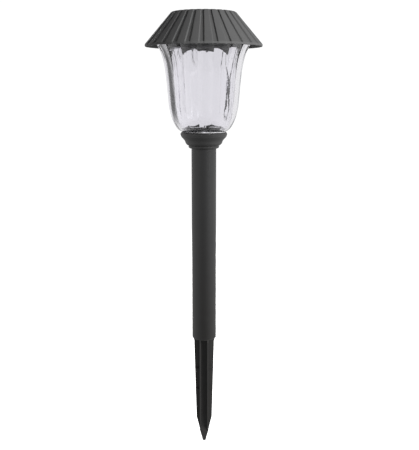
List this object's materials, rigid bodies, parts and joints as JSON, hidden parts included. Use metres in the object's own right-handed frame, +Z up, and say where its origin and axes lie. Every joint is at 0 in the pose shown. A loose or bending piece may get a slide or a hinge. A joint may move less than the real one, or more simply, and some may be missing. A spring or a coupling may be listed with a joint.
{
  "type": "solar garden light",
  "caption": "Solar path light with a pleated conical hat, a clear fluted tulip lens, a flared collar, a round pole and a ribbed ground stake.",
  "frame": {"origin": "on the pole's axis at the soil line, where the pole's lower end meets the stake", "axes": "+Z up along the pole, -Y towards the front, +X to the right seen from the front"},
  "size_m": [0.1156, 0.1156, 0.448],
  "materials": {
    "hat_plastic": "satin moulded, dark grey",
    "black_plastic": "satin moulded, black",
    "pole_paint": "satin dark grey paint",
    "clear_plastic": "clear, fluted",
    "window_plastic": "clear, flat",
    "rubber": "soft black",
    "cell_silicon": "dark blue, fine grid",
    "silver_strip": "tinned",
    "board_green": "solder mask",
    "resin": "poured resin",
    "steel": "zinc plated",
    "copper_winding": "enamelled wire",
    "chip_black": "moulded package",
    "capacitor_sleeve": "shrink sleeve",
    "led_epoxy": "water clear epoxy",
    "battery_wrap": "plain green wrap",
    "white_plastic": "moulded",
    "wire_red": "PVC",
    "wire_black": "PVC"
  },
  "bodies": {
    "stake": {"ground_stake": "black_plastic"},
    "pole": {"pole_tube": "pole_paint"},
    "collar": {"pole_collar": "black_plastic", "lens_lock": "black_plastic"},
    "lens": {"lens": "clear_plastic"},
    "head": {"roof_cover": "hat_plastic", "solar_window": "window_plastic", "window_seal": "rubber", "solar_cell": "cell_silicon", "cell_busbars": "silver_strip", "panel_board": "board_green", "potting_pad": "resin", "light_base": "black_plastic", "lens_seal": "rubber", "circuit_board": "board_green", "controller_chip": "chip_black", "coil_inductor": "copper_winding", "charge_capacitor": "capacitor_sleeve", "led_lamp": "led_epoxy", "led_leads": "silver_strip", "battery_cell": "battery_wrap", "battery_button": "steel", "battery_spring": "steel", "battery_contact": "steel", "switch_body": "white_plastic", "housing_screws": "steel", "board_screws": "steel", "panel_wire_red": "wire_red", "panel_wire_black": "wire_black", "battery_wire_red": "wire_red", "battery_wire_black": "wire_black"},
    "door": {"battery_door": "black_plastic"},
    "switch": {"switch_knob": "white_plastic"}
  },
  "joints": [
    {"name": "pole_pull", "type": "slide", "parent": "stake", "child": "pole", "axis": [0, 0, 1], "range_m": [0, 0.032]},
    {"name": "collar_pull", "type": "slide", "parent": "pole", "child": "collar", "axis": [0, 0, 1], "range_m": [0, 0.02]},
    {"name": "lens_twist", "type": "hinge", "parent": "collar", "child": "lens", "pos_m": [0, 0, 0.2144], "axis": [0, 0, 1], "range_deg": [0, 40]},
    {"name": "head_lift", "type": "slide", "parent": "lens", "child": "head", "axis": [0, 0, 1], "range_m": [0, 0.05]},
    {"name": "battery_door_hinge", "type": "hinge", "parent": "head", "child": "door", "pos_m": [0, 0.0084, 0.2972], "axis": [-1, 0, 0], "range_deg": [0, 90]},
    {"name": "switch_slide", "type": "slide", "parent": "head", "child": "switch", "axis": [1, 0, 0], "range_m": [0, 0.002]}
  ]
}
